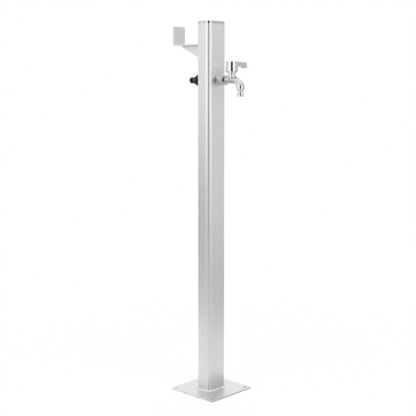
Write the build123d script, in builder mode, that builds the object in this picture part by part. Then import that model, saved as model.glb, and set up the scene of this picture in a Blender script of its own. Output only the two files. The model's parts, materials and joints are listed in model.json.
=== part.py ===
"""A garden standpipe: a post on a square foot, with a lever tap, a hose hook and a hose connector.

The origin is the middle of the foot's underside. +Z is up, +X is the way the tap faces and +Y runs
along the wide face of the post. All sizes are in millimetres.
"""
from build123d import *
import os
from math import cos, radians, sin, sqrt

os.makedirs("parts", exist_ok=True)

# whole part and shared clearances
total_height = 950.0
running_gap = 0.08    # radial, round what turns
thread_gap = 0.05     # radial, between screwed pieces
seat_gap = 0.3        # between pieces that are screwed up to each other but don't clamp

# foot plate
foot_side = 150.0
foot_thick = 3.0
foot_corner = 6.0
foot_edge_break = 0.6
anchor_inset = 12.0
anchor_hole_r = 5.0

# post
post_width = 65.0     # along Y
post_depth = 45.0     # along X
post_corner = 13.0
post_wall = 2.0

# weld bead round the foot of the post
foot_weld_leg = 4.5
weld_round_share = 0.92

# top cap
cap_thick = 6.5
cap_edge_round = 0.8
cap_skirt = 14.0
cap_skirt_wall = 2.0

# hose hook
hook_width = 40.0
hook_thick = 3.0
hook_reach = 94.0
hook_height = 49.0
hook_below_top = 58.0
hook_bend = 3.0
hook_corner = 2.0
gusset_length = 79.0
gusset_height = 39.0
gusset_nose = 3.0
gusset_thick = 3.0
hook_weld_leg = 2.5
hook_weld_inset = 2.0

# feed line through the post
feed_below_top = 145.5
nipple_r = 10.45
nipple_bore_r = 6.5
nipple_chamfer = 0.8
nipple_behind = 15.0
nipple_ahead = 20.0
feed_hole_gap = 0.35
sleeve_wall = 3.0
flat_seal = 1.5

# rear lock nut and its washer
rear_washer_r = 14.0
rear_nut_across = 26.0
rear_nut_thick = 5.0

# hose connector
collar_r = 15.5
collar_start = 7.0
collar_length = 13.5
collar_edge_break = 0.8
cone_length = 13.5
cone_end_r = 9.2
flute_count = 20
flute_r = 1.1
flute_margin = 1.6
barb_r = 7.75
barb_reach = 48.5
barb_bore_r = 4.5
barb_shank_r = 7.4
barb_clear_of_cone = 0.5
barb_flange_r = 10.2
barb_flange = 2.0
barb_tip_round = 2.2
lock_groove_at = 8.3
lock_groove_width = 3.0
lock_groove_depth = 1.1
ring_groove_at = 4.6
ring_r = 0.9

# inlet collar on the front wall and union nut
front_washer = 1.0
front_washer_r = 11.5
inlet_collar_r = 12.0
inlet_collar_length = 8.0
inlet_collar_chamfer = 0.8
union_across = 24.5
union_lip = 1.6
nut_chamfer = 1.2

# tap body
barrel_r = 8.0
barrel_bore_r = 6.9
tail_flange_r = 10.2
tail_flange = 2.0
stem_x = 69.5
spout_x = 98.0
bonnet_belly_r = 12.4
bonnet_belly_z = 6.5
bonnet_waist_r = 9.8
bonnet_waist_z = 12.5
bonnet_root_r = 7.9
bonnet_root_drop = 1.0
bonnet_neck_r = 9.2
bonnet_neck_z = 16.5
bonnet_top_z = 23.5
spout_bend_r = 20.5
spout_sections = 7
spout_swell_share = 1.5
spout_bore_r = 5.0
outlet_r = 11.3
outlet_thread_r = 9.2
outlet_thread = 3.5
outlet_edge_break = 0.6

# valve
ball_r = 6.4
ball_bore_r = 3.6
ball_slot_width = 3.2
ball_slot_depth = 2.4
seat_length = 3.6
seat_bore_r = 4.2
retainer_length = 7.0
retainer_bore_r = 4.6
stem_r = 3.2
stem_collar_r = 5.2
stem_collar = 1.8
packing_r = 5.5
packing_floor_z = 10.5
thrust_washer_thick = 1.2
stem_ring_r = 1.1
stem_ring_pitch = 2.5
gland_plug = 3.5
gland_across = 15.0
gland_thick = 4.0
stem_square = 5.0
square_gap = 0.1
tang_gap = 0.1

# handle
hub_r = 15.0
hub_low_z = 18.5
hub_top_z = 45.5
hub_chamfer = 3.0
hub_top_round = 0.8
hub_cavity_r = 12.3
hub_floor_z = 31.5
lever_reach = 53.0
lever_wide = 9.0
lever_top_drop = 0.4
lever_tip_drop = 1.2
lever_root_deep = 12.0
lever_tip_deep = 15.4
lever_lip_reach = 37.0
lever_lip_run = 5.0
lever_overlap = 6.0
lever_tip_round = 3.0
screw_r = 2.0
screw_length = 9.0
screw_head_r = 3.5
screw_head = 2.2
screw_slot_wide = 1.0
screw_slot_deep = 1.1
handle_cap_r = 9.0
handle_cap_thick = 1.8
handle_cap_round = 0.3
cap_recess_gap = 0.1

# hose nozzle in the spout
nozzle_flange_r = 10.9
nozzle_flange = 0.9
nozzle_cone_r = 9.6
nozzle_cone = 4.6
nozzle_neck_r = 6.4
nozzle_neck = 4.8
nozzle_shoulder = 0.6
nozzle_lip_r = 8.1
nozzle_lip = 8.2
nozzle_tip_chamfer = 0.9
nozzle_bore_r = 4.6

# places worked out from the sizes above
anchor_pitch = foot_side - 2 * anchor_inset
tube_top = total_height - cap_thick
feed_z = total_height - feed_below_top
front_x = post_depth / 2
rear_x = -post_depth / 2
arm_z = total_height - hook_below_top
hook_x = rear_x - hook_reach
nipple_front_x = front_x + nipple_ahead
nipple_rear_x = rear_x - nipple_behind
tail_x = nipple_front_x + flat_seal
union_start_x = front_x + front_washer + inlet_collar_length + seat_gap
union_end_x = tail_x + tail_flange + union_lip
collar_x = rear_x - collar_start
collar_end_x = collar_x - collar_length
cone_end_x = collar_end_x - cone_length
flange_x = nipple_rear_x - flat_seal
barb_tip_x = rear_x - barb_reach
ball_seat_x = stem_x + ball_r + running_gap
bonnet_top = feed_z + bonnet_top_z
packing_floor = feed_z + packing_floor_z
hub_low = feed_z + hub_low_z
hub_top = feed_z + hub_top_z
hub_floor = feed_z + hub_floor_z
outlet_end = feed_z - spout_bend_r
spigot_top = outlet_end + outlet_thread
outlet_floor = spigot_top + flat_seal
nozzle_top = outlet_end - seat_gap
nozzle_cone_z = nozzle_top - nozzle_flange
nozzle_neck_z = nozzle_cone_z - nozzle_cone
nozzle_lip_z = nozzle_neck_z - nozzle_neck
nozzle_end = nozzle_lip_z - nozzle_shoulder - nozzle_lip

feed_axis = Axis((0, 0, feed_z), (1, 0, 0))
stem_axis = Axis((stem_x, 0, 0), (0, 0, 1))
spout_axis = Axis((spout_x, 0, 0), (0, 0, 1))


def across(x):
    """A plane square to the feed line at x, facing the tap."""
    return Plane(origin=(x, 0, feed_z), x_dir=(0, 1, 0), z_dir=(1, 0, 0))


def level(x, z):
    """A level plane at height z, centred over x."""
    return Plane(origin=(x, 0, z), x_dir=(1, 0, 0), z_dir=(0, 0, 1))


def feed_point(x, radius):
    """A point of a profile that is turned about the feed line."""
    return (x, feed_z + radius)


def post_outline(grow, mode=Mode.ADD):
    """The outline of the post in the open sketch, grown on every side."""
    RectangleRounded(post_depth + 2 * grow, post_width + 2 * grow, post_corner + grow, mode=mode)


def ring(outer_r, inner_r):
    """A flat ring in the open sketch."""
    Circle(outer_r)
    Circle(inner_r, mode=Mode.SUBTRACT)


def hexagon(across_flats):
    """A hexagon in the open sketch, given across its flats."""
    RegularPolygon(across_flats / 2, 6, major_radius=False)


def weld_quarter(leg):
    """The section of a corner weld in the open sketch."""
    Circle(leg)
    Rectangle(leg, leg, align=(Align.MIN, Align.MIN), mode=Mode.INTERSECT)


def finish(builder, name):
    """Label a finished piece and write it."""
    builder.part.label = name
    export_step(builder.part, f"parts/{name}.step")


# foot plate with its anchor holes
with BuildPart() as base_plate:
    with BuildSketch():
        RectangleRounded(foot_side, foot_side, foot_corner)
    extrude(amount=foot_thick)
    chamfer(base_plate.faces().sort_by(Axis.Z)[-1].edges(), foot_edge_break)
    with Locations((0, 0, foot_thick)):
        with GridLocations(anchor_pitch, anchor_pitch, 2, 2):
            Hole(anchor_hole_r)
finish(base_plate, "base_plate")

# post with the two holes of the feed line
with BuildPart() as post_tube:
    with BuildSketch(Plane.XY.offset(foot_thick)):
        post_outline(0)
        post_outline(-post_wall, Mode.SUBTRACT)
    extrude(amount=tube_top - foot_thick)
    with BuildSketch(across(0)):
        Circle(nipple_r + feed_hole_gap)
    extrude(amount=post_depth, both=True, mode=Mode.SUBTRACT)
finish(post_tube, "post_tube")

# weld bead round the foot of the post
with BuildPart() as base_weld:
    with BuildSketch(Plane.XY.offset(foot_thick)):
        post_outline(foot_weld_leg)
        post_outline(0, Mode.SUBTRACT)
    extrude(amount=foot_weld_leg)
    weld_top = base_weld.faces().sort_by(Axis.Z)[-1]
    fillet(weld_top.outer_wire().edges(), foot_weld_leg * weld_round_share)
finish(base_weld, "base_weld")

# cap with the skirt that plugs the post
with BuildPart() as top_cap:
    with BuildSketch(Plane.XY.offset(tube_top)):
        post_outline(0)
    extrude(amount=cap_thick)
    fillet(top_cap.faces().sort_by(Axis.Z)[-1].edges(), cap_edge_round)
    with BuildSketch(Plane.XY.offset(tube_top)):
        post_outline(-post_wall - seat_gap)
        post_outline(-post_wall - seat_gap - cap_skirt_wall, Mode.SUBTRACT)
    extrude(amount=-cap_skirt)
finish(top_cap, "top_cap")

# strip of the hose hook: an arm that turns up at its end
with BuildPart() as hook_strip:
    with BuildSketch(Plane.XZ):
        with BuildLine():
            FilletPolyline(
                (rear_x, arm_z + hook_thick / 2),
                (hook_x + hook_thick / 2, arm_z + hook_thick / 2),
                (hook_x + hook_thick / 2, arm_z + hook_height),
                radius=hook_bend + hook_thick / 2,
            )
        trace(line_width=hook_thick)
    extrude(amount=hook_width / 2, both=True)
    fillet(hook_strip.edges().filter_by(Axis.X).group_by(Axis.Z)[-1], hook_corner)
finish(hook_strip, "hook_strip")

# gusset under the arm
with BuildPart() as hook_gusset:
    with BuildSketch(Plane.XZ):
        with BuildLine():
            Polyline(
                (rear_x, arm_z),
                (rear_x - gusset_length, arm_z),
                (rear_x - gusset_length, arm_z - gusset_nose),
                (rear_x - gusset_nose, arm_z - gusset_height),
                (rear_x, arm_z - gusset_height),
                close=True,
            )
        make_face()
    extrude(amount=gusset_thick / 2, both=True)
finish(hook_gusset, "hook_gusset")

# welds of the hook: one over the arm, two beside the gusset on the wall, two under the arm
with BuildPart() as hook_welds:
    arm_bead = Plane(origin=(rear_x, 0, arm_z + hook_thick), x_dir=(-1, 0, 0), z_dir=(0, 1, 0))
    with BuildSketch(arm_bead):
        weld_quarter(hook_weld_leg)
    extrude(amount=hook_width / 2 - hook_weld_inset, both=True)
    wall_bead = Plane(
        origin=(rear_x, -gusset_thick / 2, arm_z - hook_weld_leg),
        x_dir=(0, -1, 0),
        z_dir=(0, 0, -1),
    )
    with BuildSketch(wall_bead):
        weld_quarter(hook_weld_leg)
    extrude(amount=gusset_height - hook_weld_leg - hook_weld_inset)
    under_bead = Plane(
        origin=(rear_x, -gusset_thick / 2, arm_z),
        x_dir=(0, 0, -1),
        z_dir=(-1, 0, 0),
    )
    with BuildSketch(under_bead):
        weld_quarter(hook_weld_leg)
    extrude(amount=gusset_length - hook_weld_inset)
    mirror(about=Plane.XZ)
finish(hook_welds, "hook_welds")

# nipple that carries the water through the post
with BuildPart() as feed_nipple:
    with BuildSketch(across(nipple_rear_x)):
        ring(nipple_r, nipple_bore_r)
    extrude(amount=nipple_front_x - nipple_rear_x)
    nipple_ends = feed_nipple.edges().filter_by(GeomType.CIRCLE).group_by(SortBy.RADIUS)[-1]
    chamfer(nipple_ends, nipple_chamfer)
finish(feed_nipple, "feed_nipple")

# sleeve that keeps the post's walls apart
with BuildPart() as spacer_sleeve:
    with BuildSketch(across(rear_x + post_wall)):
        ring(nipple_r + feed_hole_gap + sleeve_wall, nipple_r + thread_gap)
    extrude(amount=post_depth - 2 * post_wall)
finish(spacer_sleeve, "spacer_sleeve")

# washer and lock nut on the rear wall
with BuildPart() as rear_washer:
    with BuildSketch(across(rear_x)):
        ring(rear_washer_r, nipple_r + thread_gap)
    extrude(amount=-flat_seal)
finish(rear_washer, "rear_washer")

with BuildPart() as rear_lock_nut:
    with BuildSketch(across(rear_x - flat_seal)):
        hexagon(rear_nut_across)
        Circle(nipple_r + thread_gap, mode=Mode.SUBTRACT)
    extrude(amount=-rear_nut_thick)
finish(rear_lock_nut, "rear_lock_nut")

# connector: gasket, fluted collar with its cone, hose nipple and O-ring
with BuildPart() as connector_gasket:
    with BuildSketch(across(nipple_rear_x)):
        ring(barb_flange_r, nipple_bore_r)
    extrude(amount=-flat_seal)
finish(connector_gasket, "connector_gasket")

with BuildPart() as connector_collar:
    lip_x = flange_x - barb_flange
    with BuildSketch(Plane.XZ):
        with BuildLine():
            Polyline(
                feed_point(collar_x, nipple_r + thread_gap),
                feed_point(collar_x, collar_r - collar_edge_break),
                feed_point(collar_x - collar_edge_break, collar_r),
                feed_point(collar_end_x + collar_edge_break, collar_r),
                feed_point(collar_end_x, collar_r - collar_edge_break),
                feed_point(cone_end_x, cone_end_r),
                feed_point(cone_end_x, barb_r + thread_gap),
                feed_point(lip_x, barb_r + thread_gap),
                feed_point(lip_x, nipple_r + thread_gap),
                close=True,
            )
        make_face()
    revolve(axis=feed_axis)
    with BuildSketch(across(collar_x - flute_margin)):
        with PolarLocations(collar_r, flute_count):
            Circle(flute_r)
    extrude(amount=-(collar_length - 2 * flute_margin), mode=Mode.SUBTRACT)
finish(connector_collar, "connector_collar")

with BuildPart() as connector_nipple:
    lock_groove_x = barb_tip_x + lock_groove_at
    ring_groove_x = barb_tip_x + ring_groove_at
    groove_half = ring_r + thread_gap
    with BuildSketch(Plane.XZ):
        with BuildLine():
            Polyline(
                feed_point(flange_x, barb_bore_r),
                feed_point(flange_x, barb_flange_r),
                feed_point(flange_x - barb_flange, barb_flange_r),
                feed_point(flange_x - barb_flange, barb_shank_r),
                feed_point(cone_end_x - barb_clear_of_cone, barb_shank_r),
                feed_point(cone_end_x - barb_clear_of_cone, barb_r),
                feed_point(lock_groove_x + lock_groove_width / 2, barb_r),
                feed_point(lock_groove_x + lock_groove_width / 2, barb_r - lock_groove_depth),
                feed_point(lock_groove_x - lock_groove_width / 2, barb_r - lock_groove_depth),
                feed_point(lock_groove_x - lock_groove_width / 2, barb_r),
                feed_point(ring_groove_x + groove_half, barb_r),
                feed_point(ring_groove_x + groove_half, barb_r - 2 * ring_r),
                feed_point(ring_groove_x - groove_half, barb_r - 2 * ring_r),
                feed_point(ring_groove_x - groove_half, barb_r),
                feed_point(barb_tip_x, barb_r),
                feed_point(barb_tip_x, barb_bore_r),
                close=True,
            )
        make_face()
    revolve(axis=feed_axis)
    tip_edges = connector_nipple.edges().filter_by(GeomType.CIRCLE).group_by(Axis.X)[0]
    fillet(tip_edges.sort_by(SortBy.RADIUS)[-1], barb_tip_round)
finish(connector_nipple, "connector_nipple")

with BuildPart() as connector_o_ring:
    with BuildSketch(Plane.XZ):
        with Locations(feed_point(ring_groove_x, barb_r - ring_r)):
            Circle(ring_r)
    revolve(axis=feed_axis)
finish(connector_o_ring, "connector_o_ring")

# washer and round collar on the front wall
with BuildPart() as front_washer_ring:
    with BuildSketch(across(front_x)):
        ring(front_washer_r, nipple_r + thread_gap)
    extrude(amount=front_washer)
finish(front_washer_ring, "front_washer")

with BuildPart() as front_collar:
    with BuildSketch(across(front_x + front_washer)):
        ring(inlet_collar_r, nipple_r + thread_gap)
    extrude(amount=inlet_collar_length)
    collar_rims = front_collar.edges().filter_by(GeomType.CIRCLE).group_by(SortBy.RADIUS)[-1]
    chamfer(collar_rims, inlet_collar_chamfer)
finish(front_collar, "front_collar")

# union nut, its corners turned off at both ends, and the washer inside it
with BuildPart() as union_nut:
    with BuildSketch(across(union_start_x)):
        hexagon(union_across)
    extrude(amount=union_end_x - union_start_x)
    turned_r = union_across / 2 + nut_chamfer
    with BuildSketch(Plane.XZ):
        with BuildLine():
            Polyline(
                feed_point(union_start_x, 0),
                feed_point(union_start_x, turned_r - nut_chamfer / 2),
                feed_point(union_start_x + nut_chamfer, turned_r + nut_chamfer),
                feed_point(union_end_x - nut_chamfer, turned_r + nut_chamfer),
                feed_point(union_end_x, turned_r - nut_chamfer / 2),
                feed_point(union_end_x, 0),
                close=True,
            )
        make_face()
    revolve(axis=feed_axis, mode=Mode.INTERSECT)
    with BuildSketch(across(union_start_x)):
        Circle(nipple_r + thread_gap)
    extrude(amount=union_end_x - union_lip - union_start_x, mode=Mode.SUBTRACT)
    with BuildSketch(across(union_start_x)):
        Circle(barrel_r + thread_gap)
    extrude(amount=union_end_x - union_start_x, mode=Mode.SUBTRACT)
finish(union_nut, "union_nut")

with BuildPart() as union_washer:
    with BuildSketch(across(nipple_front_x)):
        ring(tail_flange_r, nipple_bore_r)
    extrude(amount=flat_seal)
finish(union_washer, "union_washer")

# tap body: tail, barrel, bonnet and a spout that bends down and swells, hollow for the valve and the water
def spout_section(share):
    """The plane square to the spout at a share of its bend."""
    turn = radians(90 * share)
    return Plane(
        origin=(spout_x - spout_bend_r * (1 - sin(turn)), 0, outlet_end + spout_bend_r * cos(turn)),
        x_dir=(0, 1, 0),
        z_dir=(cos(turn), 0, -sin(turn)),
    )


with BuildPart() as tap_body:
    with BuildSketch(across(tail_x)):
        Circle(tail_flange_r)
    extrude(amount=tail_flange)
    with BuildSketch(across(tail_x)):
        Circle(barrel_r)
    extrude(amount=spout_x - spout_bend_r - tail_x)
    for section in range(spout_sections):
        bend_share = section / (spout_sections - 1)
        with BuildSketch(spout_section(bend_share)):
            Circle(barrel_r + (outlet_r - barrel_r) * bend_share**spout_swell_share)
    loft()
    with BuildSketch(Plane.XZ):
        with BuildLine():
            Spline(
                (stem_x + bonnet_root_r, feed_z - bonnet_root_drop),
                (stem_x + bonnet_belly_r, feed_z + bonnet_belly_z),
                (stem_x + bonnet_waist_r, feed_z + bonnet_waist_z),
                (stem_x + bonnet_neck_r, feed_z + bonnet_neck_z),
                tangents=((0, 1), (0, 1)),
            )
            Polyline(
                (stem_x + bonnet_neck_r, feed_z + bonnet_neck_z),
                (stem_x + bonnet_neck_r, bonnet_top),
                (stem_x, bonnet_top),
                (stem_x, feed_z - bonnet_root_drop),
                (stem_x + bonnet_root_r, feed_z - bonnet_root_drop),
            )
        make_face()
    revolve(axis=stem_axis)
    outlet_rim = tap_body.faces().sort_by(Axis.Z)[0].edges()
    chamfer(outlet_rim, outlet_edge_break)
    with BuildLine(Plane.XZ) as water_path:
        Line((tail_x, feed_z), (spout_x - spout_bend_r, feed_z))
        CenterArc((spout_x - spout_bend_r, outlet_end), spout_bend_r, 90, -90)
    with BuildSketch(across(tail_x)):
        Circle(spout_bore_r)
    sweep(path=water_path.wire(), mode=Mode.SUBTRACT)
    with BuildSketch(level(spout_x, outlet_end)):
        Circle(outlet_thread_r + thread_gap)
    extrude(amount=outlet_floor - outlet_end, mode=Mode.SUBTRACT)
    with BuildSketch(across(tail_x)):
        Circle(barrel_bore_r)
    extrude(amount=ball_seat_x + seat_length / 2 - tail_x, mode=Mode.SUBTRACT)
    with BuildSketch(level(stem_x, feed_z)):
        Circle(stem_r + running_gap)
    extrude(amount=bonnet_top_z, mode=Mode.SUBTRACT)
    with BuildSketch(level(stem_x, packing_floor)):
        Circle(packing_r)
    extrude(amount=bonnet_top - packing_floor, mode=Mode.SUBTRACT)
finish(tap_body, "tap_body")

# ball with its bore across the flow, as it lies when the tap is shut, and the slot for the stem
with BuildPart() as valve_ball:
    with Locations((stem_x, 0, feed_z)):
        Sphere(ball_r)
    with BuildSketch(Plane(origin=(stem_x, 0, feed_z), x_dir=(1, 0, 0), z_dir=(0, 1, 0))):
        Circle(ball_bore_r)
    extrude(amount=ball_r, both=True, mode=Mode.SUBTRACT)
    with BuildSketch(level(stem_x, feed_z + ball_r)):
        Rectangle(2 * ball_r, ball_slot_width)
    extrude(amount=-ball_slot_depth, mode=Mode.SUBTRACT)
finish(valve_ball, "valve_ball")


def beside_ball(distance):
    """How far the ball's skin, with its running gap, is from one axis at a distance along another."""
    return sqrt((ball_r + running_gap) ** 2 - distance**2)


# two seats, coned where they meet the ball
with BuildPart() as ball_seats:
    seat_face = ball_r - seat_length / 2
    seat_outer_r = barrel_bore_r - thread_gap
    for side in (-1, 1):
        with BuildSketch(Plane.XZ):
            with BuildLine():
                Polyline(
                    feed_point(stem_x + side * seat_face, beside_ball(seat_face)),
                    feed_point(stem_x + side * seat_face, seat_outer_r),
                    feed_point(stem_x + side * (seat_face + seat_length), seat_outer_r),
                    feed_point(stem_x + side * (seat_face + seat_length), seat_bore_r),
                    feed_point(stem_x + side * beside_ball(seat_bore_r), seat_bore_r),
                    close=True,
                )
            make_face()
        revolve(axis=feed_axis)
finish(ball_seats, "ball_seats")

# threaded ring that holds the inlet seat
with BuildPart() as seat_retainer:
    with BuildSketch(across(stem_x - seat_face - seat_length)):
        ring(barrel_bore_r - thread_gap, retainer_bore_r)
    extrude(amount=-retainer_length)
finish(seat_retainer, "seat_retainer")

# stem: tang in the ball, collar, round shank and the square that the handle sits on
with BuildPart() as valve_stem:
    tang_z = feed_z + ball_r - ball_slot_depth + tang_gap
    with BuildSketch(level(stem_x, tang_z)):
        Circle(stem_r)
        Rectangle(2 * stem_r, ball_slot_width - 2 * tang_gap, mode=Mode.INTERSECT)
    extrude(amount=feed_z + ball_r - tang_z + tang_gap)
    with BuildSketch(level(stem_x, feed_z + ball_r + tang_gap)):
        Circle(stem_r)
    extrude(amount=hub_floor - feed_z - ball_r - tang_gap)
    with BuildSketch(level(stem_x, packing_floor + running_gap)):
        Circle(stem_collar_r)
    extrude(amount=stem_collar)
    with BuildSketch(level(stem_x, hub_floor)):
        Rectangle(stem_square, stem_square)
    extrude(amount=screw_length)
    with BuildSketch(level(stem_x, hub_floor + screw_length)):
        Circle(screw_r + thread_gap)
    extrude(amount=-screw_length, mode=Mode.SUBTRACT)
finish(valve_stem, "valve_stem")

# thrust washer over the stem's collar
thrust_z = packing_floor + stem_collar + 2 * running_gap
with BuildPart() as thrust_washer:
    with BuildSketch(level(stem_x, thrust_z)):
        ring(packing_r - running_gap, stem_r + running_gap)
    extrude(amount=thrust_washer_thick)
finish(thrust_washer, "thrust_washer")

# gland nut: a plug in the bonnet under a hexagon
gland_z = bonnet_top - gland_plug
with BuildPart() as gland_nut:
    with BuildSketch(level(stem_x, bonnet_top)):
        hexagon(gland_across)
    extrude(amount=gland_thick)
    with BuildSketch(level(stem_x, gland_z)):
        Circle(packing_r - thread_gap)
    extrude(amount=gland_plug)
    with BuildSketch(level(stem_x, gland_z)):
        Circle(stem_r + running_gap)
    extrude(amount=gland_plug + gland_thick, mode=Mode.SUBTRACT)
finish(gland_nut, "gland_nut")

# two O-rings between the thrust washer and the gland nut
first_ring_z = thrust_z + thrust_washer_thick + stem_ring_r + running_gap
with BuildPart() as stem_o_rings:
    with BuildSketch(Plane.XZ):
        with Locations((stem_x + stem_r + stem_ring_r, first_ring_z)):
            with Locations((0, 0), (0, stem_ring_pitch)):
                Circle(stem_ring_r)
    revolve(axis=stem_axis)
finish(stem_o_rings, "stem_o_rings")

# handle: hub with its skirt over the gland, and the lever that lies across the flow when shut
with BuildPart() as tap_handle:
    with BuildSketch(level(stem_x, hub_low)):
        Circle(hub_r)
    extrude(amount=hub_top - hub_low)
    chamfer(tap_handle.faces().sort_by(Axis.Z)[0].edges(), hub_chamfer)
    fillet(tap_handle.faces().sort_by(Axis.Z)[-1].edges(), hub_top_round)
    lever_top = hub_top - lever_top_drop
    with BuildSketch(Plane(origin=(stem_x, 0, 0), x_dir=(0, 1, 0), z_dir=(1, 0, 0))) as lever_side:
        with BuildLine():
            Polyline(
                (hub_r - lever_overlap, lever_top),
                (lever_reach, lever_top - lever_tip_drop),
                (lever_reach, lever_top - lever_tip_deep),
                (lever_lip_reach + lever_lip_run, lever_top - lever_tip_deep),
                (lever_lip_reach, lever_top - lever_root_deep),
                (hub_r - lever_overlap, lever_top - lever_root_deep),
                close=True,
            )
        make_face()
    extrude(amount=lever_wide / 2, both=True)
    tip_corners = tap_handle.edges().filter_by(Axis.Z).group_by(Axis.Y)[-1]
    fillet(tip_corners, lever_tip_round)
    with BuildSketch(level(stem_x, hub_low)):
        Circle(hub_cavity_r)
    extrude(amount=hub_floor - hub_low, mode=Mode.SUBTRACT)
    with BuildSketch(level(stem_x, hub_floor)):
        Rectangle(stem_square + 2 * square_gap, stem_square + 2 * square_gap)
    extrude(amount=hub_top - hub_floor, mode=Mode.SUBTRACT)
    with BuildSketch(level(stem_x, hub_floor + screw_length)):
        Circle(screw_head_r + seat_gap)
    extrude(amount=hub_top - hub_floor, mode=Mode.SUBTRACT)
    with BuildSketch(level(stem_x, hub_top)):
        Circle(handle_cap_r + cap_recess_gap)
    extrude(amount=-handle_cap_thick, mode=Mode.SUBTRACT)
finish(tap_handle, "tap_handle")

# screw that holds the handle on the stem
with BuildPart() as handle_screw:
    with BuildSketch(level(stem_x, hub_floor + screw_length)):
        Circle(screw_r)
    extrude(amount=-(screw_length - tang_gap))
    with BuildSketch(level(stem_x, hub_floor + screw_length)):
        Circle(screw_head_r)
    extrude(amount=screw_head)
    with BuildSketch(level(stem_x, hub_floor + screw_length + screw_head)):
        Rectangle(2 * screw_head_r, screw_slot_wide)
    extrude(amount=-screw_slot_deep, mode=Mode.SUBTRACT)
finish(handle_screw, "handle_screw")

# plain cap over the screw
with BuildPart() as handle_cap:
    with BuildSketch(level(stem_x, hub_top)):
        Circle(handle_cap_r)
    extrude(amount=-handle_cap_thick)
    fillet(handle_cap.faces().sort_by(Axis.Z)[-1].edges(), handle_cap_round)
finish(handle_cap, "handle_cap")

# washer between the spout and the nozzle
with BuildPart() as outlet_washer:
    with BuildSketch(level(spout_x, spigot_top)):
        ring(outlet_thread_r, nozzle_bore_r)
    extrude(amount=flat_seal)
finish(outlet_washer, "outlet_washer")

# hose nozzle: threaded spigot, flange, cone, neck and the lip that a hose coupling grips
with BuildPart() as outlet_nozzle:
    with BuildSketch(Plane.XZ):
        with BuildLine():
            Polyline(
                (spout_x + nozzle_bore_r, spigot_top),
                (spout_x + outlet_thread_r, spigot_top),
                (spout_x + outlet_thread_r, nozzle_top),
                (spout_x + nozzle_flange_r, nozzle_top),
                (spout_x + nozzle_flange_r, nozzle_cone_z),
                (spout_x + nozzle_cone_r, nozzle_cone_z),
                (spout_x + nozzle_neck_r, nozzle_neck_z),
                (spout_x + nozzle_neck_r, nozzle_lip_z),
                (spout_x + nozzle_lip_r, nozzle_lip_z - nozzle_shoulder),
                (spout_x + nozzle_lip_r, nozzle_end + nozzle_tip_chamfer),
                (spout_x + nozzle_lip_r - nozzle_tip_chamfer, nozzle_end),
                (spout_x + nozzle_bore_r, nozzle_end),
                close=True,
            )
        make_face()
    revolve(axis=spout_axis)
finish(outlet_nozzle, "outlet_nozzle")
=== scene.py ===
# %% [markdown]
# # A garden standpipe
# A standpipe brings a tap to where the garden needs it. This one is a rectangular metal post welded to
# a square foot, with a chrome lever tap on one wide face, a hose hook and a black hose connector on the
# other. The CAD model already holds each real piece at its real size, so this lesson is about looks:
# the finish of each metal, the weld beads, the studio, and the camera.
#
# The frame is loaded first. Its nodes are never moved; a piece is only given a material, or stands in
# for a node that needs more shape than the solid has.

# %% Load the frame
import json
import math

import bmesh
import bpy
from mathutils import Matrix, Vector, noise


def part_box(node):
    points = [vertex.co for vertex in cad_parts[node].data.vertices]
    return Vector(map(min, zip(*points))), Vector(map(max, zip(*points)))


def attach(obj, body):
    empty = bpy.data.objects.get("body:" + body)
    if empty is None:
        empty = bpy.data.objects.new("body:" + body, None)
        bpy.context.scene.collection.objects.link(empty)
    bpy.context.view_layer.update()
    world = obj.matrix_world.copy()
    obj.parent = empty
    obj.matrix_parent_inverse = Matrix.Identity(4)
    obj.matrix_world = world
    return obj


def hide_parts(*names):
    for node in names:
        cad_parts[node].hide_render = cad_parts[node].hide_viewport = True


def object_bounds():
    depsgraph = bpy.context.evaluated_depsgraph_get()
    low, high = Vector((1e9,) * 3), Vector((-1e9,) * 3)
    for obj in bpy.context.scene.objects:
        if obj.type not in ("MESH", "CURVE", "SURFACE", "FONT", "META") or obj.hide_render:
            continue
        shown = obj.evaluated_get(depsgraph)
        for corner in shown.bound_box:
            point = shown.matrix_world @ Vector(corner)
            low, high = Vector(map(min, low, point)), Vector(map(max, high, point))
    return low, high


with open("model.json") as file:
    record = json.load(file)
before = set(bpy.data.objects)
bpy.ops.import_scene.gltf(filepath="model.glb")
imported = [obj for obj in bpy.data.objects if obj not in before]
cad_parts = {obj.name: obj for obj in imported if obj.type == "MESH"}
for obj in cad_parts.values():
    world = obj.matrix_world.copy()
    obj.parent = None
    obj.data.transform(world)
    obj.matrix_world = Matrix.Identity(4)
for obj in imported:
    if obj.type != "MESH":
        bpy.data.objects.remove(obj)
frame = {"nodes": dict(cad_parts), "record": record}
nodes = frame["nodes"]
cad_low, cad_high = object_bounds()
mm = 0.001
print("loaded", len(nodes), "nodes, height", round(cad_high.z, 4), "m")

# %% [markdown]
# ## The camera
# The photograph was taken from the corner between the narrow face and the wide face, a little under
# the height of the tap and looking slightly down, with a long lens so that the post keeps its width from
# top to foot. A camera fitted to the foot's corners and the post's top gives the numbers below. Its
# heading is a hair wider than its azimuth, which puts the post just right of the middle.

# %% Camera
image_px = 416
focal_px = 890
camera_distance = 2.26
camera_height = 0.794
camera_azimuth = math.radians(43.52)
camera_heading = math.radians(43.73)
camera_pitch = math.radians(7.90)

camera = bpy.data.objects.new("Camera", bpy.data.cameras.new("Camera"))
bpy.context.scene.collection.objects.link(camera)
camera.data.sensor_width = 36
camera.data.lens = focal_px / image_px * camera.data.sensor_width
camera.location = (
    camera_distance * math.sin(camera_azimuth),
    -camera_distance * math.cos(camera_azimuth),
    camera_height,
)
camera.rotation_euler = (math.radians(90) - camera_pitch, 0, camera_heading)
bpy.context.scene.camera = camera
print("camera", [round(x, 3) for x in camera.location], "lens", round(camera.data.lens, 1), "mm")


# %% [markdown]
# ## The studio
# A product photograph of polished metal is a photograph of the studio. Here the background is white, two
# tall soft boxes stand on either side of the camera, the gap between them stays dark, and the walls to
# the sides are grey. Chrome shows this as a dark line with white beside it and grey towards its edges.

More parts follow.
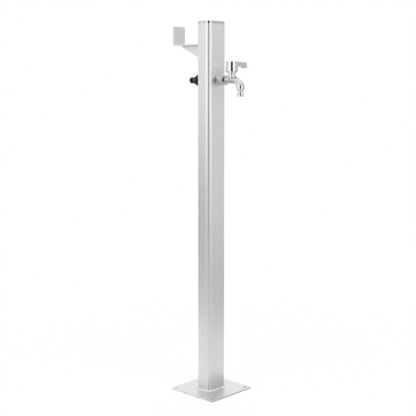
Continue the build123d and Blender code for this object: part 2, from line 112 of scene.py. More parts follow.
# %% Studio helpers
def link(tree, *pairs):
    """Join sockets of a node tree, given as (from, to) pairs."""
    for start, end in pairs:
        tree.links.new(start, end)


def add_node(tree, kind, **settings):
    """A new node with its settings, such as operation="MULTIPLY"."""
    node = tree.nodes.new(kind)
    for key, value in settings.items():
        setattr(node, key, value)
    return node


def maths(tree, operation, *values, clamp=False):
    """A maths node of up to three values, each a number or a socket. Returns its output."""
    node = add_node(tree, "ShaderNodeMath", operation=operation, use_clamp=clamp)
    for socket, value in zip(node.inputs, values):
        if isinstance(value, bpy.types.NodeSocket):
            tree.links.new(value, socket)
        else:
            socket.default_value = value
    return node.outputs[0]


def smooth_step(tree, value, span, levels):
    """A value that runs smoothly from one level to another while its input crosses a span."""
    node = add_node(tree, "ShaderNodeMapRange", interpolation_type="SMOOTHSTEP")
    node.inputs["From Min"].default_value = span[0]
    node.inputs["From Max"].default_value = span[1]
    node.inputs["To Min"].default_value = levels[0]
    node.inputs["To Max"].default_value = levels[1]
    tree.links.new(value, node.inputs["Value"])
    return node.outputs["Result"]


def seen_directly(tree):
    """1 for camera, glossy and transmission rays, else 0."""
    path = add_node(tree, "ShaderNodeLightPath")
    looked_at = maths(tree, "MAXIMUM", path.outputs["Is Camera Ray"], path.outputs["Is Glossy Ray"])
    return maths(tree, "MAXIMUM", looked_at, path.outputs["Is Transmission Ray"])


def new_object(name, bm, material):
    """An object from a bmesh, linked to the scene."""
    mesh = bpy.data.meshes.new(name)
    bm.to_mesh(mesh)
    bm.free()
    obj = bpy.data.objects.new(name, mesh)
    bpy.context.scene.collection.objects.link(obj)
    mesh.materials.append(material)
    return obj


# %% [markdown]
# A white background that lit the object as well would wash it out. So it is white only for camera, glossy
# and transmission rays, and all other rays meet a dimmer ambient light.

# %% World
ambient_level = 0.62

world = bpy.data.worlds.new("studio")
bpy.context.scene.world = world
world.use_nodes = True
tree = world.node_tree
tree.nodes.clear()
ambient = add_node(tree, "ShaderNodeBackground")
ambient.inputs["Color"].default_value = (1, 1, 1, 1)
ambient.inputs["Strength"].default_value = ambient_level
white = add_node(tree, "ShaderNodeBackground")
white.inputs["Color"].default_value = (1, 1, 1, 1)
white.inputs["Strength"].default_value = 1
mix = add_node(tree, "ShaderNodeMixShader")
output = add_node(tree, "ShaderNodeOutputWorld")
link(
    tree,
    (seen_directly(tree), mix.inputs[0]),
    (ambient.outputs[0], mix.inputs[1]),
    (white.outputs[0], mix.inputs[2]),
    (mix.outputs[0], output.inputs[0]),
)
print("world: white to look at, ambient", ambient_level)

# %% [markdown]
# The floor mixes its lit surface with the same white, wholly so away from the post: it keeps a faint
# shadow by the foot and shows no horizon. Ambient occlusion darkens it inside the anchor holes.

# %% Floor
floor_half = 9.0
floor_grey = 0.93
floor_white_share = 0.93
floor_fade = (0.15, 1.2)
contact_reach = 12 * mm
contact_depth = 6.0
contact_samples = 8

floor_material = bpy.data.materials.new("pale_floor")
floor_material.use_nodes = True
tree = floor_material.node_tree
tree.nodes.clear()
lit = add_node(tree, "ShaderNodeBsdfDiffuse")
lit.inputs["Color"].default_value = (floor_grey, floor_grey, floor_grey, 1)
plain = add_node(tree, "ShaderNodeEmission")
plain.inputs["Strength"].default_value = 1
place = add_node(tree, "ShaderNodeTexCoord")
from_post = add_node(tree, "ShaderNodeVectorMath", operation="LENGTH")
away = smooth_step(tree, from_post.outputs["Value"], floor_fade, (floor_white_share, 1))
contact = add_node(tree, "ShaderNodeAmbientOcclusion", samples=contact_samples)
contact.inputs["Distance"].default_value = contact_reach
open_sky = maths(tree, "POWER", contact.outputs["AO"], contact_depth)
plain_share = maths(tree, "MULTIPLY", away, open_sky)
mix = add_node(tree, "ShaderNodeMixShader")
output = add_node(tree, "ShaderNodeOutputMaterial")
link(
    tree,
    (place.outputs["Object"], from_post.inputs[0]),
    (maths(tree, "MULTIPLY", plain_share, seen_directly(tree)), mix.inputs[0]),
    (lit.outputs[0], mix.inputs[1]),
    (plain.outputs[0], mix.inputs[2]),
    (mix.outputs[0], output.inputs[0]),
)
bm = bmesh.new()
bmesh.ops.create_grid(bm, x_segments=1, y_segments=1, size=floor_half)
floor = new_object("floor", bm, floor_material)
print("floor", 2 * floor_half, "m square")

# %% [markdown]
# The soft boxes, the walls, the floor and the ceiling that the metal mirrors are cards, each made by
# turning a line round the post. Only reflections see them, so they shape the metal and leave the light on
# everything else alone. Angles are in degrees from the camera, positive to the right: a flat face of the
# post turned half as far reflects its card straight back.

# %% Card helpers
studio_radius = 2.6
studio_height = 2.6
card_step_deg = 5


def studio_place(angle, radius, height):
    """A point of the studio, its angle in degrees counted from the camera to the right."""
    turn = camera_azimuth + math.radians(angle)
    return Vector((radius * math.sin(turn), -radius * math.cos(turn), height))


def glow_material(name, direction, span, levels):
    """A glowing surface whose level runs between two distances along a direction, or outwards if None."""
    material = bpy.data.materials.new(name)
    material.use_nodes = True
    tree = material.node_tree
    tree.nodes.clear()
    place = add_node(tree, "ShaderNodeTexCoord")
    along = add_node(tree, "ShaderNodeVectorMath", operation="DOT_PRODUCT" if direction else "LENGTH")
    if direction:
        along.inputs[1].default_value = direction
    glow = add_node(tree, "ShaderNodeEmission")
    output = add_node(tree, "ShaderNodeOutputMaterial")
    link(
        tree,
        (place.outputs["Object"], along.inputs[0]),
        (smooth_step(tree, along.outputs["Value"], span, levels), glow.inputs["Strength"]),
        (glow.outputs[0], output.inputs[0]),
    )
    return material


def card(name, ends, turn, material):
    """A card made by turning the line between two points round the post, by an angle in degrees."""
    bm = bmesh.new()
    edge = bm.edges.new([bm.verts.new(end) for end in ends])
    bmesh.ops.spin(
        bm,
        geom=[edge, *edge.verts],
        cent=(0, 0, 0),
        axis=(0, 0, 1),
        angle=math.radians(turn),
        steps=max(2, round(abs(turn) / card_step_deg)),
        use_merge=turn == 360,
    )
    obj = new_object(name, bm, material)
    obj.visible_camera = False
    obj.visible_diffuse = False
    obj.visible_shadow = False


print("studio", studio_radius, "m round the post,", studio_height, "m high")

# %% [markdown]
# Right and left of the dark gap stand the soft boxes, each brightest at the gap. Outside them and below
# them are the walls, in shade near the floor, and far more so on the left. A corner of the post mirrors
# all of this in a narrow strip, so it shows a dark line between two white ones.

# %% Standing cards
soft_box_level = 1.22
soft_box_far_level = 1.02
left_wall_level = 0.80
left_base_level = 0.22
right_wall_level = 0.61
right_base_level = 0.57
gap_level = 0.01

card_gap = 1
gap_end = 19
box_start = gap_end + card_gap
left_box_end = 68
right_box_end = 64
left_wall_start = left_box_end + card_gap
right_wall_start = right_box_end + card_gap
wall_end = 152
card_foot = 0.02
soft_box_foot = 0.34
wall_shade_top = 0.8
toward_camera = Vector((math.sin(camera_azimuth), -math.cos(camera_azimuth), 0))


def box_glow(name, near, far):
    """A soft box's light, brightest at its edge near the camera."""
    span = [studio_radius * math.cos(math.radians(angle)) for angle in (far, near)]
    return glow_material(name, toward_camera, span, (soft_box_far_level, soft_box_level))


def wall_glow(name, base_level, level):
    """A wall's light, which fades towards the floor."""
    return glow_material(name, (0, 0, 1), (0, wall_shade_top), (base_level, level))


gap_glow = wall_glow("dark_gap", gap_level, gap_level)
left_glow = wall_glow("wall_left", left_base_level, left_wall_level)
right_glow = wall_glow("wall_right", right_base_level, right_wall_level)
left_box_glow = box_glow("soft_box_left", box_start, left_box_end)
right_box_glow = box_glow("soft_box_right", box_start, right_box_end)
standing = [
    # name, angles of its two edges, lower and upper edge, light
    ("dark_gap_left", 0, -gap_end, card_foot, studio_height, gap_glow),
    ("dark_gap_right", 0, gap_end, card_foot, studio_height, gap_glow),
    ("soft_box_left", -box_start, -left_box_end, soft_box_foot, studio_height, left_box_glow),
    ("soft_box_right", box_start, right_box_end, soft_box_foot, studio_height, right_box_glow),
    ("below_box_left", -box_start, -left_box_end, card_foot, soft_box_foot, left_glow),
    ("below_box_right", box_start, right_box_end, card_foot, soft_box_foot, right_glow),
    ("wall_left", -left_wall_start, -wall_end, card_foot, studio_height, left_glow),
    ("wall_right", right_wall_start, wall_end, card_foot, studio_height, right_glow),
]
for name, near, far, low, high, light in standing:
    card(name, [studio_place(near, studio_radius, z) for z in (low, high)], far - near, light)
print("cards:", len(standing), "standing")

# %% [markdown]
# The mirrored floor dims away from the post, more slowly on the left, and rises again on the right. On a
# tall satin post this is the slow dip from light to grey and back, lower on the wide face than on the
# narrow one. Two small cards round the foot are the shade by the plate, deep only on the right. The
# ceiling is bright overhead and grey at its rim, so level tops stay apart from the background in high
# views.

# %% Lying cards
floor_near_level = 0.73
floor_left_level = 0.80
floor_far_level = 0.31
shade_left_level = 0.76
shade_right_level = 0.34
ceiling_level = 0.92
ceiling_rim_level = 0.6

card_hole = 0.02
floor_near = 0.3
floor_far = 1.2
floor_left_far = 1.6
shade_radius = 0.13
ceiling_near = 1.3
ceiling_far = 2.5
floor_height = 0.4 * mm
side_height = 0.6 * mm
shade_height = 0.7 * mm
side_turn = wall_end - box_start

floor_span = (floor_near, floor_far)
left_span = (floor_near, floor_left_far)
right_span = (floor_far, studio_radius)
ceiling_span = [math.hypot(studio_height, radius) for radius in (ceiling_near, ceiling_far)]
floor_glow = glow_material("floor_card", None, floor_span, (floor_near_level, floor_far_level))
floor_left_glow = glow_material("floor_left", None, left_span, (floor_left_level, floor_far_level))
floor_right_glow = glow_material("floor_right", None, right_span, (floor_far_level, right_base_level))
shade_left_glow = glow_material("shade_left", None, floor_span, (shade_left_level, shade_left_level))
shade_right_glow = glow_material("shade_right", None, floor_span, (shade_right_level, shade_right_level))
ceiling_glow = glow_material("ceiling", None, ceiling_span, (ceiling_level, ceiling_rim_level))
lying = [
    # name, inner and outer radius, height, angle of its first edge, turn, light
    ("floor_card", card_hole, studio_radius, floor_height, 0, 360, floor_glow),
    ("floor_left", card_hole, studio_radius, side_height, -box_start, -side_turn, floor_left_glow),
    ("floor_right", floor_far, studio_radius, side_height, box_start, side_turn, floor_right_glow),
    ("shade_left", card_hole, shade_radius, shade_height, 0, -180, shade_left_glow),
    ("shade_right", card_hole, shade_radius, shade_height, 0, 180, shade_right_glow),
    ("ceiling", card_hole, studio_radius, studio_height, 0, 360, ceiling_glow),
]
for name, inner, outer, height, first, turn, light in lying:
    card(name, [studio_place(first, radius, height) for radius in (inner, outer)], turn, light)
print("cards:", len(lying), "lying")

# %% [markdown]
# ## The lamps
# Three large area lamps light the object from both sides and from above behind. They are soft and
# plain, at a level at which a colour renders about as it is written. Reflections see the soft-box cards
# instead of the lamps, so the lamps stay out of glossy rays.

# %% Lamps
lamps = [
    # name, angle, distance from the post's middle line, height, size, watts
    ("key_lamp", -42, 2.6, 1.7, 1.6, 30),
    ("fill_lamp", 42, 2.6, 1.4, 1.6, 20),
    ("top_lamp", 170, 1.2, 3.0, 2.0, 26),
]
post_middle = Vector((0, 0, cad_high.z / 2))
for name, angle, distance, height, size, watts in lamps:
    lamp = bpy.data.objects.new(name, bpy.data.lights.new(name, "AREA"))
    lamp.data.shape = "SQUARE"
    lamp.data.size = size
    lamp.data.energy = watts
    lamp.location = studio_place(angle, distance, height)
    lamp.rotation_mode = "QUATERNION"
    lamp.rotation_quaternion = (post_middle - lamp.location).to_track_quat("-Z", "Y")
    lamp.visible_glossy = False
    bpy.context.scene.collection.objects.link(lamp)
    print("lamp", name, watts, "W")

# %% [markdown]
# ## Shared effects
# The same few effects are on most of the finishes, so each is a node group that gives out only a value
# or a mask. The shader stays in each material.

# %% Group helper
def new_group(name, inputs, output_name):
    """A node group with named float or vector inputs and one output, and its two end nodes."""
    group = bpy.data.node_groups.new(name, "ShaderNodeTree")
    for label, kind, value in inputs:
        socket = group.interface.new_socket(label, in_out="INPUT", socket_type=kind)
        if value is not None:
            socket.default_value = value
    group.interface.new_socket(output_name, in_out="OUTPUT", socket_type="NodeSocketFloat")
    start = add_node(group, "NodeGroupInput")
    end = add_node(group, "NodeGroupOutput")
    return group, start, end


FLOAT, VECTOR = "NodeSocketFloat", "NodeSocketVector"

# %% [markdown]
# Brushing, drawing and turning all leave lines that run one way. An image of lines would blur close up, so
# this is noise stretched along one axis. Its contrast is raised about the middle, which keeps its mean.

# %% Streaks
streaks, start, end = new_group(
    "streaks",
    [("Vector", VECTOR, None), ("Stretch", VECTOR, (1, 1, 1)), ("Contrast", FLOAT, 1.0)],
    "Value",
)
stretch = add_node(streaks, "ShaderNodeVectorMath", operation="MULTIPLY")
grain = add_node(streaks, "ShaderNodeTexNoise")
grain.inputs["Scale"].default_value = 1
grain.inputs["Detail"].default_value = 3
centred = maths(streaks, "SUBTRACT", grain.outputs["Fac"], 0.5)
gained = maths(streaks, "MULTIPLY", centred, start.outputs["Contrast"])
link(
    streaks,
    (start.outputs["Vector"], stretch.inputs[0]),
    (start.outputs["Stretch"], stretch.inputs[1]),
    (stretch.outputs[0], grain.inputs["Vector"]),
    (maths(streaks, "ADD", gained, 0.5, clamp=True), end.inputs[0]),
)
print("group", streaks.name)

# %% [markdown]
# Moulded plastic, rubber and cast metal have a fine even grain. Plain noise does for all three, with its
# size and its roughness left open: the same group gives pebbles on plastic and slow waves on chrome.

# %% Speckle
speckle, start, end = new_group(
    "speckle",
    [("Vector", VECTOR, None), ("Per Metre", FLOAT, 2000.0), ("Roughness", FLOAT, 0.6)],
    "Value",
)
grain = add_node(speckle, "ShaderNodeTexNoise")
grain.inputs["Detail"].default_value = 2
link(
    speckle,
    (start.outputs["Vector"], grain.inputs["Vector"]),
    (start.outputs["Per Metre"], grain.inputs["Scale"]),
    (start.outputs["Roughness"], grain.inputs["Roughness"]),
    (grain.outputs["Fac"], end.inputs[0]),
)
print("group", speckle.name)

# %% [markdown]
# Hands, dust and cleaning leave soft patches with clean surface between them. This is slow noise, a little
# distorted, and cut off below a threshold.

# %% Smudges
smudges, start, end = new_group(
    "smudges",
    [("Vector", VECTOR, None), ("Per Metre", FLOAT, 60.0), ("Threshold", FLOAT, 0.5)],
    "Mask",
)
slow = add_node(smudges, "ShaderNodeTexNoise")
slow.inputs["Detail"].default_value = 4
slow.inputs["Distortion"].default_value = 0.4
ramp = add_node(smudges, "ShaderNodeMapRange", interpolation_type="SMOOTHSTEP")
ramp.inputs["From Max"].default_value = 0.9
link(
    smudges,
    (start.outputs["Vector"], slow.inputs["Vector"]),
    (start.outputs["Per Metre"], slow.inputs["Scale"]),
    (slow.outputs["Fac"], ramp.inputs["Value"]),
    (start.outputs["Threshold"], ramp.inputs["From Min"]),
    (ramp.outputs["Result"], end.inputs[0]),
)
print("group", smudges.name)

# %% [markdown]
# Edges are rubbed first. The bevel node gives the normal of a rounded copy of the surface, and where it
# leans away from the true one there is an edge. Noise breaks the line up, as real wear is uneven.

# %% Edge wear
flat_likeness = 0.995
sharp_likeness = 0.90
breakup_low = 0.35
breakup_high = 0.65
bevel_samples = 6

edge_wear, start, end = new_group(
    "edge_wear",
    [("Vector", VECTOR, None), ("Width", FLOAT, 0.0006), ("Breakup Per Metre", FLOAT, 400.0)],
    "Mask",
)
rounded = add_node(edge_wear, "ShaderNodeBevel", samples=bevel_samples)
surface = add_node(edge_wear, "ShaderNodeNewGeometry")
likeness = add_node(edge_wear, "ShaderNodeVectorMath", operation="DOT_PRODUCT")
sharp = add_node(edge_wear, "ShaderNodeMapRange")
sharp.inputs["From Min"].default_value = flat_likeness
sharp.inputs["From Max"].default_value = sharp_likeness
breakup = add_node(edge_wear, "ShaderNodeTexNoise")
uneven = add_node(edge_wear, "ShaderNodeMapRange")
uneven.inputs["From Min"].default_value = breakup_low
uneven.inputs["From Max"].default_value = breakup_high
worn = maths(edge_wear, "MULTIPLY", sharp.outputs["Result"], uneven.outputs["Result"], clamp=True)
link(
    edge_wear,
    (start.outputs["Width"], rounded.inputs["Radius"]),
    (rounded.outputs["Normal"], likeness.inputs[0]),
    (surface.outputs["Normal"], likeness.inputs[1]),
    (likeness.outputs["Value"], sharp.inputs["Value"]),
    (start.outputs["Vector"], breakup.inputs["Vector"]),
    (start.outputs["Breakup Per Metre"], breakup.inputs["Scale"]),
    (breakup.outputs["Fac"], uneven.inputs["Value"]),
    (worn, end.inputs[0]),
)
print("group", edge_wear.name)


# %% [markdown]
# ## Materials
# Every finish is built the same way: a principled shader whose plain numbers sit on its own sockets, then
# masks from the groups above that change colour, roughness and bump over the surface. Patterns read
# object coordinates, in metres, so a stretch of (900, 900, 3) is a grain about a millimetre wide and a
# third of a metre long.

# %% Material helpers
def new_material(name, colour, metallic, roughness):
    """A material with a principled shader. Returns it with its tree, its shader and its coordinates."""
    material = bpy.data.materials.new(name)
    material.use_nodes = True
    tree = material.node_tree
    shader = tree.nodes["Principled BSDF"]
    shader.inputs["Base Color"].default_value = (*colour, 1)
    shader.inputs["Metallic"].default_value = metallic
    shader.inputs["Roughness"].default_value = roughness
    place = add_node(tree, "ShaderNodeTexCoord").outputs["Object"]
    return material, tree, shader, place


def effect(tree, group, place, **values):
    """A group in a material, with its inputs set. Returns its output."""
    node = add_node(tree, "ShaderNodeGroup", node_tree=group)
    tree.links.new(place, node.inputs["Vector"])
    for label, value in values.items():
        node.inputs[label.replace("_", " ")].default_value = value
    return node.outputs[0]


def between(tree, mask, low, high):
    """A value that runs from low to high with a mask."""
    node = add_node(tree, "ShaderNodeMapRange")
    node.inputs["To Min"].default_value = low
    node.inputs["To Max"].default_value = high
    tree.links.new(mask, node.inputs["Value"])
    return node.outputs["Result"]


def tint(tree, mask, low, high):
    """A colour that runs from low, a colour or a socket, to high with a mask."""
    node = add_node(tree, "ShaderNodeMix", data_type="RGBA")
    if isinstance(low, tuple):
        node.inputs["A"].default_value = (*low, 1)
    else:
        tree.links.new(low, node.inputs["A"])
    node.inputs["B"].default_value = (*high, 1)
    tree.links.new(mask, node.inputs["Factor"])
    return node.outputs["Result"]


def relief(tree, shader, height, depth, strength=1.0):
    """A bump of a given depth in metres, from a height value."""
    node = add_node(tree, "ShaderNodeBump")
    node.inputs["Strength"].default_value = strength
    node.inputs["Distance"].default_value = depth
    tree.links.new(height, node.inputs["Height"])
    tree.links.new(node.outputs["Normal"], shader.inputs["Normal"])


def grey(level):
    """A grey that is a trace warmer than neutral."""
    return (level, level, level * 0.995)


# %% [markdown]
# The post is drawn aluminium with a fine satin brushing that runs up the post. Broad faint bands come
# from the drawing die and thin lines from the brushing. The plate is brushed across, and the hook is
# rolled strip, so they share one recipe with another direction and scale.

# %% Brushed metals
brush_spread = 0.04
brush_rough_spread = 0.18
brush_depth = 0.006 * mm
line_share = 0.45
hand_level = 0.94
hand_share = 0.2
hand_rough = 0.05
worn_level = 0.96
worn_share = 0.5


def brushed_metal(name, level, roughness, broad, fine, metallic=1.0):
    """Satin metal with broad bands and fine lines, each a stretch in counts per metre."""
    material, tree, shader, place = new_material(name, grey(level), metallic, roughness)
    bands = effect(tree, streaks, place, Stretch=broad, Contrast=2.4)
    lines = effect(tree, streaks, place, Stretch=fine, Contrast=2.0)
    hands = effect(tree, smudges, place, Per_Metre=14.0, Threshold=0.5)
    wear = effect(tree, edge_wear, place, Width=0.6 * mm)
    both = add_node(tree, "ShaderNodeMix", data_type="FLOAT")
    both.inputs["Factor"].default_value = line_share
    link(tree, (bands, both.inputs["A"]), (lines, both.inputs["B"]))
    dark, light = grey(level * (1 - brush_spread)), grey(level * (1 + brush_spread))
    colour = tint(tree, both.outputs["Result"], dark, light)
    colour = tint(tree, between(tree, hands, 0.0, hand_share), colour, grey(level * hand_level))
    colour = tint(tree, between(tree, wear, 0.0, worn_share), colour, grey(worn_level))
    smooth, rough = roughness * (1 - brush_rough_spread), roughness * (1 + brush_rough_spread)
    clean_rough = between(tree, lines, smooth, rough)
    link(
        tree,
        (maths(tree, "MULTIPLY_ADD", hands, hand_rough, clean_rough), shader.inputs["Roughness"]),
        (colour, shader.inputs["Base Color"]),
    )
    relief(tree, shader, lines, brush_depth)
    return material


satin_post = brushed_metal(
    "satin_post",
    level=0.86,
    roughness=0.32,
    broad=(150, 150, 0.8),
    fine=(2600, 2600, 9),
    metallic=0.8,
)
brushed_plate = brushed_metal(
    "brushed_plate",
    level=0.84,
    roughness=0.42,
    broad=(8, 220, 8),
    fine=(14, 2400, 14),
)
satin_hook = brushed_metal(
    "satin_hook",
    level=0.94,
    roughness=0.34,
    broad=(40, 160, 9),
    fine=(900, 2200, 60),
)
print("brushed:", satin_post.name, brushed_plate.name, satin_hook.name)

# %% [markdown]
# Above its weld the post has painted shade, a little darker and streaky, for the dark foot mirrored in its
# wide faces. The shade is laid over the finished colour: it fades upwards, and eases off round the
# corners to the narrow faces.

# %% Painted shade above the weld
foot_shade_rise = (4 * mm, 42 * mm)
foot_shade_ease = (22 * mm, 32 * mm)
foot_shade_on_narrow = 0.25
shade_streak_share = (0.35, 0.85)
foot_shade_level = 0.5


def paint_foot_shade(material):
    """Paint shade into a brushed metal near the foot, in streaks that run up from its weld."""
    tree = material.node_tree
    shader = tree.nodes["Principled BSDF"]
    clean = shader.inputs["Base Color"].links[0].from_socket
    place = add_node(tree, "ShaderNodeTexCoord").outputs["Object"]
    parts = add_node(tree, "ShaderNodeSeparateXYZ")
    tree.links.new(place, parts.inputs[0])
    upward = smooth_step(tree, parts.outputs["Z"], foot_shade_rise, (1, 0))
    off_centre = maths(tree, "ABSOLUTE", parts.outputs["Y"])
    sideways = smooth_step(tree, off_centre, foot_shade_ease, (1, foot_shade_on_narrow))
    shade_streaks = effect(tree, streaks, place, Stretch=(170, 170, 12), Contrast=2.6)
    where = maths(tree, "MULTIPLY", upward, sideways)
    mask = maths(tree, "MULTIPLY", where, between(tree, shade_streaks, *shade_streak_share))
    # Painted shade: the colour is darkened near the foot, mostly on the wide faces, where the dark foot is
    # mirrored.
    tree.links.new(tint(tree, mask, clean, grey(foot_shade_level)), shader.inputs["Base Color"])


paint_foot_shade(satin_post)
print("painted_shade_on", satin_post.name, "up to", round(foot_shade_rise[1] / mm), "mm")

# %% [markdown]
# Chrome is smooth enough to mirror the studio. What keeps it from looking like a drawing is small: slow
# waves left by the casting and its polishing, faint smudges that blur the reflection, and a thin bright
# line on worn edges. The cap on the post is polished the same way, a little less finely.

# %% Polished metals
polished_edge = (0.97, 0.97, 0.97)


def polished_metal(name, colour, roughness, wave_depth, smudge_rough):
    """Mirror metal with slow waves and smudges."""
    material, tree, shader, place = new_material(name, colour, 1.0, roughness)
    waves = effect(tree, speckle, place, Per_Metre=110.0, Roughness=0.3)
    hands = effect(tree, smudges, place, Per_Metre=90.0, Threshold=0.45)
    wear = effect(tree, edge_wear, place, Width=0.4 * mm)
    link(
        tree,
        (between(tree, hands, roughness, smudge_rough), shader.inputs["Roughness"]),
        (tint(tree, wear, colour, polished_edge), shader.inputs["Base Color"]),
    )
    relief(tree, shader, waves, wave_depth)
    return material


chrome = polished_metal(
    "chrome",
    (0.80, 0.805, 0.815),
    roughness=0.04,
    wave_depth=0.05 * mm,
    smudge_rough=0.09,
)
polished_cap = polished_metal(
    "polished_cap",
    (0.75, 0.75, 0.75),
    roughness=0.05,
    wave_depth=0.04 * mm,
    smudge_rough=0.12,
)
print("polished:", chrome.name, polished_cap.name)

# %% [markdown]
# A weld bead on aluminium is bright and rippled, with a dull frosted edge where the metal ran. The ripples
# are real shape, made further down; the material adds the frosting and a fine crust.

# %% Weld metal
weld_clear_rough = 0.12
weld_frost_rough = 0.34
crust_depth = 0.08 * mm

weld, tree, shader, place = new_material("bright_weld", grey(0.92), 1.0, 0.2)
crust = effect(tree, speckle, place, Per_Metre=1500.0, Roughness=0.7)
frost = effect(tree, smudges, place, Per_Metre=260.0, Threshold=0.4)
link(
    tree,
    (between(tree, frost, weld_clear_rough, weld_frost_rough), shader.inputs["Roughness"]),
    (tint(tree, frost, grey(0.96), grey(0.84)), shader.inputs["Base Color"]),
)
relief(tree, shader, crust, crust_depth, strength=0.6)
print("weld:", weld.name)

# %% [markdown]
# Brass shows where fittings are left unplated: on the feed nipple and the lock nut behind the post. It is
# turned on a lathe, so its lines run round the feed line, and it dulls to brown in patches. The screw that
# holds the handle is steel by the same recipe, with lines round its own upright axis.

# %% Brass and steel
tarnish_rough = 0.25
worn_gain = 1.15
lathe_depth = 0.03 * mm


def turned_metal(name, colour, dull, roughness, lines_along):
    """Turned metal with lathe lines and patches of tarnish."""
    material, tree, shader, place = new_material(name, colour, 1.0, roughness)
    lines = effect(tree, streaks, place, Stretch=lines_along, Contrast=2.4)
    patches = effect(tree, smudges, place, Per_Metre=120.0, Threshold=0.42)
    wear = effect(tree, edge_wear, place, Width=0.5 * mm)
    worn = tuple(min(1, part * worn_gain) for part in colour)
    link(
        tree,
        (tint(tree, wear, tint(tree, patches, colour, dull), worn), shader.inputs["Base Color"]),
        (between(tree, patches, roughness, roughness + tarnish_rough), shader.inputs["Roughness"]),
    )
    relief(tree, shader, lines, lathe_depth)
    return material


brass = turned_metal(
    "machined_brass",
    (0.80, 0.60, 0.30),
    dull=(0.42, 0.28, 0.12),
    roughness=0.22,
    lines_along=(3000, 60, 60),
)
steel = turned_metal(
    "turned_steel",
    (0.62, 0.62, 0.63),
    dull=(0.40, 0.39, 0.38),
    roughness=0.28,
    lines_along=(60, 60, 3000),
)
print("turned:", brass.name, steel.name)

# %% [markdown]
# The hose connector is moulded black plastic: satin, finely pebbled by the mould, and rubbed paler along
# its edges. It shines less than a fresh moulding, as the photograph shows it nearly black all over. The
# seals are matt rubber, and the ball seats waxy white plastic.

# %% Plastic and rubber
dust_colour = (0.20, 0.20, 0.19)
rubbed_share = 0.6
hollow_smoother = 0.06
pebble_rougher = 0.08


def moulded(name, colour, edge_colour, roughness, pebble, depth, dust, gloss=0.5):
    """A moulded surface with pebbled relief, rubbed edges and a little dust."""
    material, tree, shader, place = new_material(name, colour, 0.0, roughness)
    shader.inputs["Specular IOR Level"].default_value = gloss
    pebbles = effect(tree, speckle, place, Per_Metre=pebble, Roughness=0.5)
    dusty = effect(tree, smudges, place, Per_Metre=70.0, Threshold=0.5)
    wear = effect(tree, edge_wear, place, Width=0.5 * mm)
    rubbed = between(tree, wear, 0.0, rubbed_share)
    shade = tint(tree, between(tree, dusty, 0.0, dust), colour, dust_colour)
    low, high = roughness - hollow_smoother, roughness + pebble_rougher
    link(
        tree,
        (tint(tree, rubbed, shade, edge_colour), shader.inputs["Base Color"]),
        (between(tree, pebbles, low, high), shader.inputs["Roughness"]),
    )
    relief(tree, shader, pebbles, depth, strength=0.7)
    return material


black_plastic = moulded(
    "black_plastic",
    (0.007, 0.007, 0.0075),
    edge_colour=(0.04, 0.04, 0.04),
    roughness=0.27,
    pebble=3200.0,
    depth=0.03 * mm,
    dust=0.05,
    gloss=0.28,
)
black_rubber = moulded(
    "black_rubber",
    (0.016, 0.016, 0.016),
    edge_colour=(0.05, 0.05, 0.05),
    roughness=0.62,
    pebble=2200.0,
    depth=0.06 * mm,
    dust=0.16,
)
white_plastic = moulded(
    "waxy_white",
    (0.80, 0.80, 0.77),
    edge_colour=(0.86, 0.86, 0.84),
    roughness=0.38,
    pebble=2600.0,
    depth=0.03 * mm,
    dust=0.03,
)
print("moulded:", black_plastic.name, black_rubber.name, white_plastic.name)

# %% [markdown]
# The record gives each node a material slot, and the slot decides its finish, so that all the chrome
# pieces share one material. The nodes themselves stay as they are.

# %% Give each node its finish
finishes = {
    "post_metal": satin_post,
    "plate_metal": brushed_plate,
    "weld_metal": weld,
    "hook_metal": satin_hook,
    "cap_metal": polished_cap,
    "chrome_tap": chrome,
    "brass_fitting": brass,
    "screw_steel": steel,
    "black_plastic": black_plastic,
    "black_rubber": black_rubber,
    "white_ptfe": white_plastic,
}
slot_of = {row["node"]: row["material_slot"] for row in frame["record"]["subparts"]}
for name, obj in nodes.items():
    for slot in obj.material_slots:
        slot.material = finishes[slot_of[name]]
print("finished", len(slot_of), "nodes with", len(finishes), "materials")

# %% [markdown]
# ## Weld beads
# The CAD solids of the welds are plain quarter rounds. A real bead is a row of overlapping ripples, each
# frozen a moment after the last, and a hand-made one swells and thins as it goes. A flat grid is wrapped
# along the path: one way runs along the bead, the other round its section. The section's size follows a
# saw-tooth ripple and a slow noise. Doubled vertices then close the section and a closed path.

# %% Bead helper
ripple_pitch = 3.2 * mm
ripple_steps = 5
section_points = 9
slow_swells = 90
quick_swells = 260
quick_share = 0.6
root_depth = 0.1
shoulder = 0.84
join_distance = 1e-6


def bead_scale(distance, ripple, swell):
    """How large the bead is at a distance along its path: a saw tooth of ripples on a slow swell."""
    tooth = 1 - (distance / ripple_pitch) % 1
    slow = noise.noise((distance * slow_swells, 0.3, 0.7))
    quick = noise.noise((distance * quick_swells, 1.3, 0.2))
    return 1 + ripple * (tooth - 0.5) + swell * (slow + quick_share * quick)


def bead_section(point, up, out, size):
    """The closed section of a bead: its root, a bulging quarter round, and its root again."""
    root = point - root_depth * size * (up + out)
    places = [root]
    for k in range(section_points):
        turn = math.radians(90) * k / (section_points - 1)
        bulge = shoulder + (1 - shoulder) * abs(math.cos(2 * turn))
        places.append(point + size * bulge * (math.cos(turn) * up + math.sin(turn) * out))
    return places + [root]


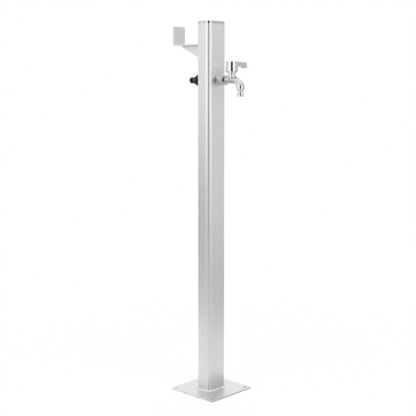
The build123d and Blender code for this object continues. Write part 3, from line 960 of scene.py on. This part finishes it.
def bead(name, path, leg, ripple=0.16, swell=0.16):
    """A rippled weld bead along a path of (point, way up the wall, way out from it)."""
    closed = (path[0][0] - path[-1][0]).length < join_distance
    bm = bmesh.new()
    bmesh.ops.create_grid(bm, x_segments=section_points + 1, y_segments=len(path) - 1, size=1)
    bm.verts.ensure_lookup_table()
    travelled = 0.0
    row = section_points + 2
    for index, (point, up, out) in enumerate(path):
        if index:
            travelled += (point - path[index - 1][0]).length
        ends_meet = closed and index == len(path) - 1
        size = leg * bead_scale(0.0 if ends_meet else travelled, ripple, swell)
        for k, place in enumerate(bead_section(point, up, out, size)):
            bm.verts[index * row + k].co = place
    bmesh.ops.remove_doubles(bm, verts=bm.verts, dist=join_distance)
    rims = [edge for edge in bm.edges if edge.is_boundary]
    if rims:
        bmesh.ops.holes_fill(bm, edges=rims)
    bmesh.ops.recalc_face_normals(bm, faces=bm.faces)
    for face in bm.faces:
        face.smooth = True
    print(name, round(travelled / mm), "mm long,", len(bm.faces), "faces")
    return new_object(name, bm, weld)


def straight_path(start, end, up, out):
    """Steps along a straight bead, a few to each ripple."""
    start, end = Vector(start), Vector(end)
    count = max(2, round((end - start).length / ripple_pitch * ripple_steps))
    return [(start.lerp(end, k / count), Vector(up), Vector(out)) for k in range(count + 1)]


# %% [markdown]
# The foot's bead runs round the post where it meets the plate: four straights and four corners that turn
# with the post's own corner. Its sizes are read from the nodes' boxes, so it follows the frame.

# %% Weld round the foot
post_low, post_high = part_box("post_tube")
weld_low, weld_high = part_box("base_weld")
post_half = Vector((post_high.x, post_high.y, 0))
weld_leg = weld_high.z - weld_low.z
post_corner = 13 * mm
foot_bead_share = 0.98


def rounded_path(half, corner, z):
    """Steps round a rounded rectangle, each with its way up and its way out."""
    steps = []
    for quarter in range(4):
        side = (1 if quarter in (0, 3) else -1, 1 if quarter in (0, 1) else -1)
        centre = Vector((side[0] * (half.x - corner), side[1] * (half.y - corner), z))
        turns = max(4, round(corner * math.pi / 2 / ripple_pitch * ripple_steps))
        for k in range(turns + 1):
            turn = math.radians(90) * (quarter + k / turns)
            out = Vector((math.cos(turn), math.sin(turn), 0))
            steps.append((centre + corner * out, Vector((0, 0, 1)), out))
        if quarter % 2 == 0:
            run = 2 * (half.x - corner)
        else:
            run = 2 * (half.y - corner)
        count = round(run / ripple_pitch * ripple_steps)
        last, up, out = steps[-1]
        along = Vector((-out.y, out.x, 0))
        steps += [(last + along * run * k / count, up, out) for k in range(1, count)]
    return steps + [steps[0]]


foot_path = rounded_path(post_half, post_corner, weld_low.z)
foot_bead = bead("foot_bead", foot_path, weld_leg * foot_bead_share, ripple=0.14, swell=0.42)
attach(foot_bead, "standpipe")
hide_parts("base_weld")

# %% [markdown]
# The hook has five short beads: one across the arm where it meets the post, two down the sides of the
# gusset, and two along its top edge under the arm. They stand for one CAD node, so they are joined.

# %% Welds of the hook
gusset_low, gusset_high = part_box("hook_gusset")
hook_weld_low, hook_weld_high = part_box("hook_welds")
wall_x = post_low.x
hook_leg = 2.5 * mm
arm_top = hook_weld_high.z - hook_leg
across_end = hook_weld_high.y
beads = [
    bead(
        "arm_bead",
        straight_path(
            (wall_x, -across_end, arm_top),
            (wall_x, across_end, arm_top),
            (0, 0, 1),
            (-1, 0, 0),
        ),
        hook_leg,
    )
]
for side in (-1, 1):
    face_y = side * gusset_high.y
    beads.append(
        bead(
            f"wall_bead_{side + 1}",
            straight_path(
                (wall_x, face_y, gusset_high.z - hook_leg),
                (wall_x, face_y, gusset_low.z + hook_leg),
                (-1, 0, 0),
                (0, side, 0),
            ),
            hook_leg,
        )
    )
    beads.append(
        bead(
            f"under_bead_{side + 1}",
            straight_path(
                (wall_x - hook_leg, face_y, gusset_high.z),
                (hook_weld_low.x, face_y, gusset_high.z),
                (0, 0, -1),
                (0, side, 0),
            ),
            hook_leg,
        )
    )
hook_beads = beads[0]
bm = bmesh.new()
for obj in beads:
    bm.from_mesh(obj.data)
bm.to_mesh(hook_beads.data)
bm.free()
for obj in beads[1:]:
    bpy.data.objects.remove(obj)
hook_beads.name = hook_beads.data.name = "hook_beads"
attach(hook_beads, "standpipe")
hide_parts("hook_welds")

# %% [markdown]
# ## Finish
# The view settings stay plain.

# %% Finish
bpy.context.scene.view_settings.view_transform = "Standard"
